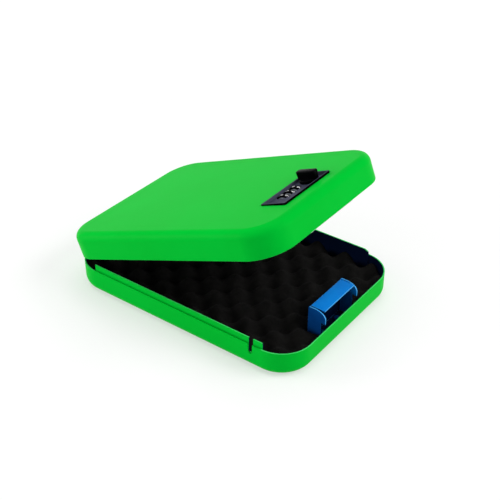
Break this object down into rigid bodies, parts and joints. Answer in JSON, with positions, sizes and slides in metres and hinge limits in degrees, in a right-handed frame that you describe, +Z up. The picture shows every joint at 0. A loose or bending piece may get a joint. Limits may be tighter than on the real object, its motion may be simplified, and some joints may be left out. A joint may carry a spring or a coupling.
{
  "type": "portable car safe",
  "caption": "Flat steel car safe in two pressed halves on a rear piano hinge, with a dial combination lock and thumb turn in the lid, a hooked keeper bracket in the base and foam lining.",
  "frame": {"origin": "centre of the base's flat underside", "axes": "+X along the hinge pin, towards the safe's right side; -Y is the lock side; +Z up. The rest pose is the picture's: lid open 21.8 degrees, dials at a digit, thumb turn unlatched with its bar along Y."},
  "size_m": [0.168, 0.2468, 0.1359],
  "materials": {
    "green_paint": "satin",
    "blue_paint": "satin",
    "black_foam": "matte",
    "plate_grey": "satin",
    "black_gloss": "gloss",
    "zinc_cast": "cast",
    "plated_steel": "satin",
    "spring_steel": "polished",
    "brass_alloy": "satin"
  },
  "bodies": {
    "base": {"base_shell": "green_paint", "side_lip_left": "green_paint", "side_lip_right": "green_paint", "keeper_bracket": "blue_paint", "keeper_rivet_1": "plated_steel", "keeper_rivet_2": "plated_steel", "base_foam": "black_foam", "hinge_leaf_base": "green_paint", "hinge_pin": "plated_steel"},
    "lid": {"hinge_leaf_lid": "green_paint", "lid_shell": "green_paint", "lid_foam": "black_foam", "lock_faceplate": "plate_grey", "lock_case": "zinc_cast", "lock_nut_1": "plated_steel", "lock_nut_2": "plated_steel", "lock_nut_3": "plated_steel", "lock_nut_4": "plated_steel", "dial_axle": "plated_steel", "detent_spring": "spring_steel", "slide_screw_1": "plated_steel", "slide_screw_2": "plated_steel"},
    "dial_1_body": {"dial_1": "black_gloss", "gate_ring_1": "brass_alloy"},
    "dial_2_body": {"dial_2": "black_gloss", "gate_ring_2": "brass_alloy"},
    "dial_3_body": {"dial_3": "black_gloss", "gate_ring_3": "brass_alloy"},
    "knob_body": {"knob": "black_gloss", "knob_spindle": "plated_steel", "drive_crank": "zinc_cast", "crank_screw": "plated_steel"},
    "latch": {"latch_slide": "plated_steel"},
    "fence": {"fence_bar": "plated_steel"}
  },
  "joints": [
    {"name": "lid_hinge", "type": "hinge", "parent": "base", "child": "lid", "pos_m": [0, 0.1203, 0.02355], "axis": [-1, 0, 0], "range_deg": [-21.8, 148.2]},
    {"name": "dial_1_turn", "type": "hinge", "parent": "lid", "child": "dial_1_body", "pos_m": [-0.015, -0.06553, 0.11419], "axis": [1, 0, 0], "continuous": true},
    {"name": "dial_2_turn", "type": "hinge", "parent": "lid", "child": "dial_2_body", "pos_m": [-0.0068, -0.06553, 0.11419], "axis": [1, 0, 0], "continuous": true},
    {"name": "dial_3_turn", "type": "hinge", "parent": "lid", "child": "dial_3_body", "pos_m": [0.0014, -0.06553, 0.11419], "axis": [1, 0, 0], "continuous": true},
    {"name": "knob_turn", "type": "hinge", "parent": "lid", "child": "knob_body", "pos_m": [0.015, -0.0675, 0.12381], "axis": [0, 0.3714, 0.9285], "range_deg": [0, 90]},
    {"name": "latch_travel", "type": "slide", "parent": "lid", "child": "latch", "axis": [0, 0.9285, -0.3714], "range_m": [0, 0.00396]},
    {"name": "fence_swing", "type": "hinge", "parent": "lid", "child": "fence", "pos_m": [0, -0.0584, 0.10509], "axis": [1, 0, 0], "range_deg": [0, 90]}
  ],
  "couplings": [
    {"joint": "knob_turn", "follows": "latch_travel", "rad_per_m": 396.69},
    {"joint": "fence_swing", "follows": "latch_travel", "rad_per_m": 396.69}
  ]
}
